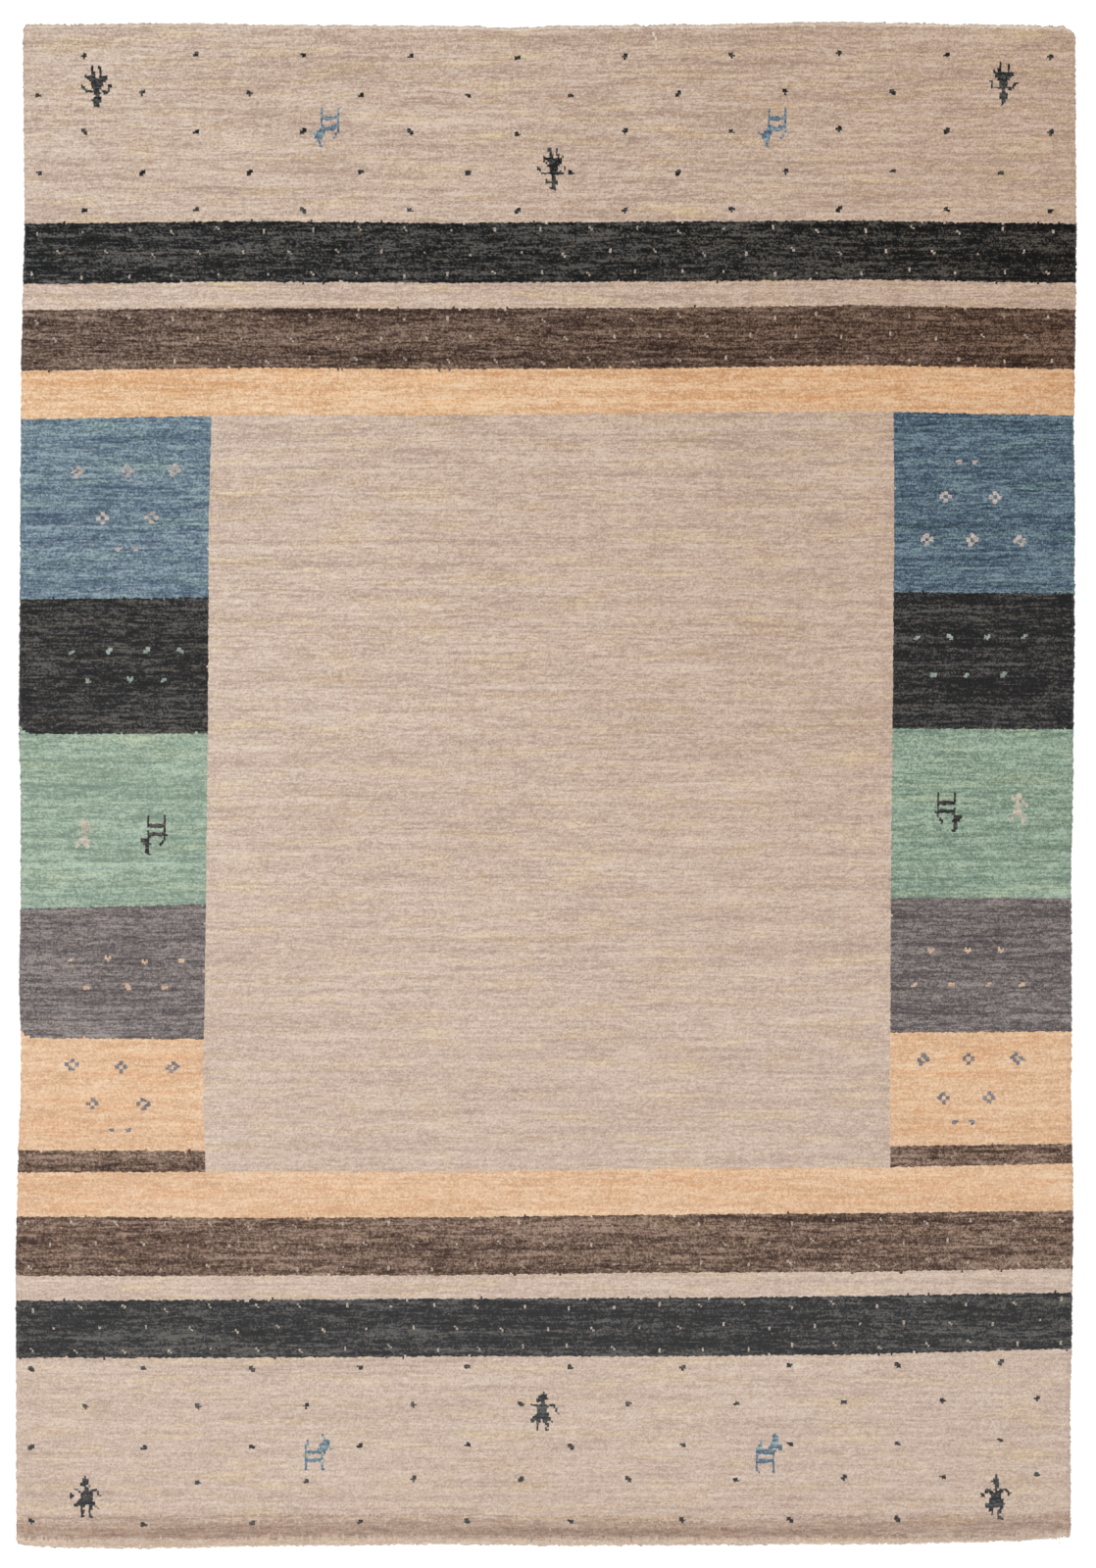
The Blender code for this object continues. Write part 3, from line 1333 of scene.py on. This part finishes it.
class Graph:
    """A node tree that is filled in with short calls."""

    def __init__(self, tree: bpy.types.NodeTree) -> None:
        """Takes the tree to fill."""
        self.tree = tree

    def add(self, kind: str, **settings: Any) -> bpy.types.Node:
        """Adds a node and sets its properties."""
        node = self.tree.nodes.new(f"ShaderNode{kind}")
        for name, value in settings.items():
            setattr(node, name, value)
        return node

    def feed(self, socket: bpy.types.NodeSocket, source: Any) -> None:
        """Links an input to another node's output, or sets it to a plain value."""
        if isinstance(source, bpy.types.NodeSocket):
            self.tree.links.new(source, socket)
        else:
            socket.default_value = source

    def math(self, operation: str, first: Any, second: Any = 0.0, clamp: bool = False) -> Any:
        """Adds a Math node.

        Args:
            operation: The node's operation.
            first: Its first input, a socket or a number.
            second: Its second input.
            clamp: Whether the result stays within 0 and 1.

        Returns:
            The node's output.
        """
        node = self.add("Math", operation=operation, use_clamp=clamp)
        self.feed(node.inputs[0], first)
        self.feed(node.inputs[1], second)
        return node.outputs[0]

    def join(self, x: Any, y: Any, z: Any = 0.0) -> Any:
        """Adds a Combine XYZ node and gives its output."""
        node = self.add("CombineXYZ")
        for socket, source in zip(node.inputs, (x, y, z)):
            self.feed(socket, source)
        return node.outputs[0]

    def place(self) -> tuple[Any, Any]:
        """X and Y of the point on the rug, in metres."""
        where = self.add("TexCoord")
        split = self.add("SeparateXYZ")
        self.feed(split.inputs[0], where.outputs["Object"])
        return split.outputs[0], split.outputs[1]

    def noise(self, vector: Any, detail: float = 2.0, roughness: float = 0.5) -> Any:
        """Adds a Noise Texture of scale 1 and gives its value."""
        node = self.add("TexNoise")
        self.feed(node.inputs["Vector"], vector)
        self.feed(node.inputs["Scale"], 1.0)
        self.feed(node.inputs["Detail"], detail)
        self.feed(node.inputs["Roughness"], roughness)
        return node.outputs[0]


class Group:
    """A shader node group with named inputs and outputs."""

    def __init__(self, name: str, inputs: dict[str, Any], outputs: dict[str, str]) -> None:
        """Makes the group and its sockets.

        Args:
            name: The group's name.
            inputs: Each input's name and default, a number or a colour.
            outputs: Each output's name and socket type.
        """
        self.tree = bpy.data.node_groups.new(name, "ShaderNodeTree")
        for label, default in inputs.items():
            kind = "NodeSocketFloat" if isinstance(default, float) else "NodeSocketColor"
            socket = self.tree.interface.new_socket(label, in_out="INPUT", socket_type=kind)
            socket.default_value = default
        for label, kind in outputs.items():
            self.tree.interface.new_socket(label, in_out="OUTPUT", socket_type=kind)
        self.graph = Graph(self.tree)
        self.inside = self.tree.nodes.new("NodeGroupInput").outputs
        self.result = self.tree.nodes.new("NodeGroupOutput").inputs

    def use(self, graph: Graph, **values: Any) -> Any:
        """Places the group in a material.

        Args:
            graph: The material's nodes.
            values: Inputs by name, with underscores for spaces.

        Returns:
            The placed node's outputs.
        """
        node = graph.add("Group", node_tree=self.tree)
        for name, value in values.items():
            graph.feed(node.inputs[name.replace("_", " ")], value)
        return node.outputs


@dataclass(frozen=True)
class StreakLayer:
    """One size of streak in the dye: its length and thickness, how far it sways, and contrast."""

    length: float
    thickness: float
    sway: float
    contrast: float


def sway_group() -> Group:
    """How far the rows wander up and down, from -0.5 to 0.5."""
    group = Group("Row Sway", {"Seed": 0.0}, {"Sway": "NodeSocketFloat"})
    graph, given = group.graph, group.inside
    x, y = graph.place()
    slow = graph.noise(
        graph.join(graph.math("MULTIPLY", x, 9.0), graph.math("MULTIPLY", y, 14.0), given["Seed"])
    )
    graph.feed(group.result["Sway"], graph.math("SUBTRACT", slow, 0.5))
    return group


def streak_group() -> Group:
    """Uneven dye, in broken streaks that run across the rug."""
    group = Group(
        "Abrash Streaks",
        {"Length": 0.07, "Thickness": 0.004, "Sway": 0.0, "Seed": 0.0, "Contrast": 1.0},
        {"Tone": "NodeSocketFloat"},
    )
    graph, given = group.graph, group.inside
    x, y = graph.place()
    along = graph.math("DIVIDE", graph.math("ADD", y, given["Sway"]), given["Thickness"])
    across = graph.math("DIVIDE", x, given["Length"])
    streak = graph.noise(graph.join(across, along, given["Seed"]), detail=3.0, roughness=0.65)
    centred = graph.math("MULTIPLY", graph.math("SUBTRACT", streak, 0.5), given["Contrast"])
    graph.feed(group.result["Tone"], centred)
    return group


def tuft_group() -> Group:
    """Single tufts of the pile and their slanting fibres."""
    group = Group(
        "Wool Tufts",
        {"Tuft Size": 0.0030, "Fibre Width": 0.0013, "Seed": 0.0},
        {"Tone": "NodeSocketFloat", "Fibre": "NodeSocketFloat", "Height": "NodeSocketFloat"},
    )
    graph, given = group.graph, group.inside
    x, y = graph.place()
    across = graph.math("DIVIDE", x, given["Tuft Size"])
    along = graph.math("DIVIDE", y, given["Tuft Size"])
    tufts = graph.add("TexVoronoi")
    graph.feed(tufts.inputs["Vector"], graph.join(across, along, given["Seed"]))
    graph.feed(tufts.inputs["Scale"], 1.0)
    graph.feed(tufts.inputs["Randomness"], 0.85)
    shade = graph.add("SeparateColor")
    graph.feed(shade.inputs[0], tufts.outputs["Color"])
    lean = graph.math("SUBTRACT", 0.45, graph.math("MULTIPLY", x, 0.35))
    slanted = graph.math("ADD", x, graph.math("MULTIPLY", y, lean))
    fibre = graph.noise(
        graph.join(
            graph.math("DIVIDE", slanted, given["Fibre Width"]),
            graph.math("DIVIDE", graph.math("MULTIPLY", y, 0.5), given["Fibre Width"]),
            given["Seed"],
        ),
        detail=3.0,
        roughness=0.7,
    )
    dome = graph.math("SUBTRACT", 1.0, tufts.outputs["Distance"])
    height = graph.math("ADD", graph.math("MULTIPLY", dome, 0.6), graph.math("MULTIPLY", fibre, 1.1))
    graph.feed(group.result["Tone"], graph.math("SUBTRACT", shade.outputs[0], 0.5))
    graph.feed(group.result["Fibre"], graph.math("SUBTRACT", fibre, 0.5))
    graph.feed(group.result["Height"], height)
    return group


def painted_light_group() -> Group:
    """Painted light: colour made brighter, with a painted sheen haze, toward the foot and the left, and
    painted shade to the right near the head.
    """
    group = Group(
        "Dust Fade",
        {
            "Colour": (0.5, 0.5, 0.5, 1.0),
            "Dust Colour": (0.56, 0.57, 0.60, 1.0),
            "Dust": 0.05,
            "Brightening": 0.13,
            "Leans": 0.0,
        },
        {"Colour": "NodeSocketColor"},
    )
    graph, given = group.graph, group.inside
    x, y = graph.place()
    # How much painted light: it grows toward the foot, eases off in the last stretch before it, and grows
    # a little to the left.
    to_foot = graph.math("SUBTRACT", 0.5, graph.math("DIVIDE", y, RUG_LENGTH))
    rising = graph.math("MULTIPLY", to_foot, 1.2)
    falling = graph.math("SUBTRACT", 2.97, graph.math("MULTIPLY", to_foot, 2.2))
    to_left = graph.math("MULTIPLY", x, -0.15 / RUG_WIDTH)
    amount = graph.math("ADD", graph.math("MINIMUM", rising, falling), to_left, clamp=True)
    # Painted highlight: the colour scaled brighter by that amount.
    paler = graph.math("ADD", 1.0, graph.math("MULTIPLY", amount, given["Brightening"]))
    bright = graph.add("VectorMath", operation="SCALE")
    graph.feed(bright.inputs[0], given["Colour"])
    graph.feed(bright.inputs["Scale"], paler)
    # Painted sheen: the colour mixed toward a pale blue-grey haze by that amount.
    mix = graph.add("Mix", data_type="RGBA", blend_type="MIX")
    graph.feed(mix.inputs[0], graph.math("MULTIPLY", amount, given["Dust"]))
    graph.feed(mix.inputs[6], bright.outputs[0])
    graph.feed(mix.inputs[7], given["Dust Colour"])
    # Painted shade and light: darker to the right and brighter to the left, over the head half only, more
    # so in blue.
    near_head = graph.math("SUBTRACT", 2.8, graph.math("MULTIPLY", to_foot, 4.0), clamp=True)
    darker = graph.math("MULTIPLY", graph.math("MULTIPLY", x, given["Leans"]), near_head)
    warmth = graph.add("VectorMath", operation="SCALE")
    warmth.inputs[0].default_value = (0.7, 1.0, 1.25)
    graph.feed(warmth.inputs["Scale"], darker)
    kept = graph.add("VectorMath", operation="SUBTRACT")
    kept.inputs[0].default_value = (1.0, 1.0, 1.0)
    graph.feed(kept.inputs[1], warmth.outputs[0])
    right_shaded = graph.add("VectorMath", operation="MULTIPLY")
    graph.feed(right_shaded.inputs[0], mix.outputs[2])
    graph.feed(right_shaded.inputs[1], kept.outputs[0])
    graph.feed(group.result["Colour"], right_shaded.outputs[0])
    return group


class WoolShop:
    """Makes the wool materials, all from the same few groups."""

    layers = (
        StreakLayer(0.20, 0.032, 0.030, 0.8),
        StreakLayer(0.60, 0.0085, 0.006, 0.95),
        StreakLayer(0.050, 0.0046, 0.008, 1.25),
        StreakLayer(0.015, 0.0034, 0.008, 1.25),
    )
    odd_shades = StreakLayer(0.13, 0.016, 0.008, 4.5)

    def __init__(self) -> None:
        """Builds the shared groups."""
        self.sway = sway_group()
        self.streaks = streak_group()
        self.tufts = tuft_group()
        self.painted_light = painted_light_group()

    def streak_tone(self, graph: Graph, layer: StreakLayer, sway: Any, seed: float) -> Any:
        """Places one layer of streaks and gives its tone."""
        placed = self.streaks.use(
            graph,
            Length=layer.length,
            Thickness=layer.thickness,
            Sway=graph.math("MULTIPLY", sway, layer.sway),
            Seed=seed,
            Contrast=layer.contrast,
        )
        return placed["Tone"]

    def material(self, yarn: Yarn) -> bpy.types.Material:
        """Makes the material of one yarn.

        Args:
            yarn: The yarn, with its finish.

        Returns:
            The new material.
        """
        finish: WoolFinish = yarn.value
        material = bpy.data.materials.new(f"wool_{yarn.name.lower()}")
        material.use_nodes = True
        graph = Graph(material.node_tree)
        shader = material.node_tree.nodes["Principled BSDF"]
        seed = 3.7 * slot_of(yarn)
        sway = self.sway.use(graph, Seed=seed)["Sway"]
        dye = 0.0
        for number, layer in enumerate(self.layers):
            dye = graph.math("ADD", dye, self.streak_tone(graph, layer, sway, seed + 20 * number))
        shades = self.streak_tone(graph, self.odd_shades, sway, seed + 95)
        tufts = self.tufts.use(graph, Seed=seed)
        to_foot = graph.math("SUBTRACT", 0.5, graph.math("DIVIDE", graph.place()[1], RUG_LENGTH))
        evened = graph.math("SUBTRACT", 1.0, graph.math("MULTIPLY", to_foot, finish.evens))
        dye = graph.math("MULTIPLY", dye, graph.math("MULTIPLY", evened, finish.streaks))
        spots = graph.math(
            "ADD",
            graph.math("MULTIPLY", tufts["Tone"], 0.40 * finish.tufts),
            graph.math("MULTIPLY", tufts["Fibre"], 2.2 * finish.tufts),
        )
        tone = graph.math("ADD", graph.math("ADD", dye, spots), 0.5, clamp=True)
        ramp = graph.add("ValToRGB")
        ramp.color_ramp.elements[0].position = 0.08
        ramp.color_ramp.elements[0].color = linear(finish.dark)
        ramp.color_ramp.elements[1].position = 0.92
        ramp.color_ramp.elements[1].color = linear(finish.pale)
        middle = ramp.color_ramp.elements.new(0.5)
        middle.color = linear(finish.usual)
        odd = graph.add("Mix", data_type="RGBA", blend_type="MULTIPLY")
        ratio = [wanted / usual for wanted, usual in zip(linear(finish.odd), linear(finish.usual))]
        graph.feed(odd.inputs[0], graph.math("MULTIPLY", shades, 1.0, clamp=True))
        graph.feed(odd.inputs[6], ramp.outputs[0])
        graph.feed(odd.inputs[7], ratio)
        graph.feed(ramp.inputs[0], tone)
        # Painted light over the dyed colour: brighter, with a painted sheen haze, toward the foot and the
        # left, and painted shade to the right near the head.
        lit_colour = self.painted_light.use(
            graph, Colour=odd.outputs[2], Dust=0.05 * finish.dust, Leans=finish.leans
        )
        graph.feed(shader.inputs["Base Color"], lit_colour["Colour"])
        rough = graph.math("ADD", 0.92, graph.math("MULTIPLY", tufts["Fibre"], -0.2), clamp=True)
        graph.feed(shader.inputs["Roughness"], rough)
        shader.inputs["Specular IOR Level"].default_value = 0.1
        shader.inputs["Sheen Weight"].default_value = 0.04
        shader.inputs["Sheen Roughness"].default_value = 0.6
        bump = graph.add("Bump")
        bump.inputs["Strength"].default_value = 0.7
        bump.inputs["Distance"].default_value = 0.0012
        graph.feed(bump.inputs["Height"], tufts["Height"])
        graph.feed(shader.inputs["Normal"], bump.outputs[0])
        return material


@dataclass
class Studio:
    """A pale floor, soft light from above and a camera that looks straight down."""

    frame_pixels: tuple[int, int] = (1118, 1600)
    rug_middle: tuple[float, float] = (558.1, 801.35)
    pixel: float = 0.001488
    lens: float = 100.0
    sensor: float = 36.0
    floor_size: float = 60.0

    def add_camera(self) -> None:
        """Hangs the camera over the middle of the photograph's frame."""
        wide, high = self.frame_pixels
        camera = bpy.data.cameras.new("camera")
        camera.lens = self.lens
        camera.sensor_width = self.sensor
        camera.clip_end = 60.0
        holder = bpy.data.objects.new("camera", camera)
        x = (wide / 2 - self.rug_middle[0]) * self.pixel
        y = (self.rug_middle[1] - high / 2) * self.pixel
        holder.location = (x, y, PILE_TOP + high * self.pixel * self.lens / self.sensor)
        bpy.context.scene.collection.objects.link(holder)
        bpy.context.scene.camera = holder

    def add_floor(self) -> None:
        """Lays the floor, with a plain white paint."""
        half = self.floor_size / 2
        mesh = bpy.data.meshes.new("floor")
        corners = [(-half, -half, 0), (half, -half, 0), (half, half, 0), (-half, half, 0)]
        mesh.from_pydata(corners, [], [(0, 1, 2, 3)])
        floor = bpy.data.objects.new("floor", mesh)
        paint = bpy.data.materials.new("floor_paint")
        paint.use_nodes = True
        shader = paint.node_tree.nodes["Principled BSDF"]
        shader.inputs["Base Color"].default_value = (0.90, 0.90, 0.895, 1.0)
        shader.inputs["Roughness"].default_value = 0.9
        shader.inputs["Specular IOR Level"].default_value = 0.0
        shader.inputs["Emission Color"].default_value = (1.0, 1.0, 1.0, 1.0)
        shader.inputs["Emission Strength"].default_value = 0.5
        mesh.materials.append(paint)
        floor.location.z = -0.0004
        bpy.context.scene.collection.objects.link(floor)

    def add_light(self, name: str, spot: tuple[float, float, float], size: float, power: float) -> None:
        """Hangs a soft square light that faces the middle of the rug."""
        lamp = bpy.data.lights.new(name, "AREA")
        lamp.shape = "SQUARE"
        lamp.size = size
        lamp.energy = power
        holder = bpy.data.objects.new(name, lamp)
        holder.location = spot
        x, y, z = spot
        holder.rotation_euler = (math.atan2(math.hypot(x, y), z), 0, math.atan2(x, -y))
        holder.visible_camera = False
        bpy.context.scene.collection.objects.link(holder)

    def build(self) -> None:
        """Sets up the whole studio."""
        self.add_camera()
        self.add_floor()
        self.add_light("key", (-3.0, -1.5, 5.2), 2.4, 130.0)
        self.add_light("fill", (3.0, 1.8, 5.2), 3.0, 90.0)
        world = bpy.data.worlds.new("studio")
        world.use_nodes = True
        sky = world.node_tree.nodes["Background"]
        sky.inputs["Color"].default_value = (1.0, 1.0, 1.0, 1.0)
        sky.inputs["Strength"].default_value = 0.75
        bpy.context.scene.world = world
        bpy.context.scene.view_settings.view_transform = "Standard"
        bpy.context.scene.view_settings.look = "None"
        log.info("studio: camera %.2f m above the floor", bpy.context.scene.camera.location.z)


def main() -> None:
    """Builds and dresses the rug, then sets up the studio."""
    logging.basicConfig(level=logging.INFO, format="%(name)s: %(message)s")
    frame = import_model()
    chart = Chart()
    lay = Lay(Outline(frame["nodes"][NODE].data))
    shop = WoolShop()
    skins = [shop.material(yarn) for yarn in YARNS]
    pile = Pile(chart, lay)
    strips = pile.build(skins)
    cloth = Foundation(chart, lay).build(skins)
    tufts = EdgeTufts(pile).build(skins)
    fray = Fray().build(skins)
    Studio().build()


if __name__ == "__main__":
    main()
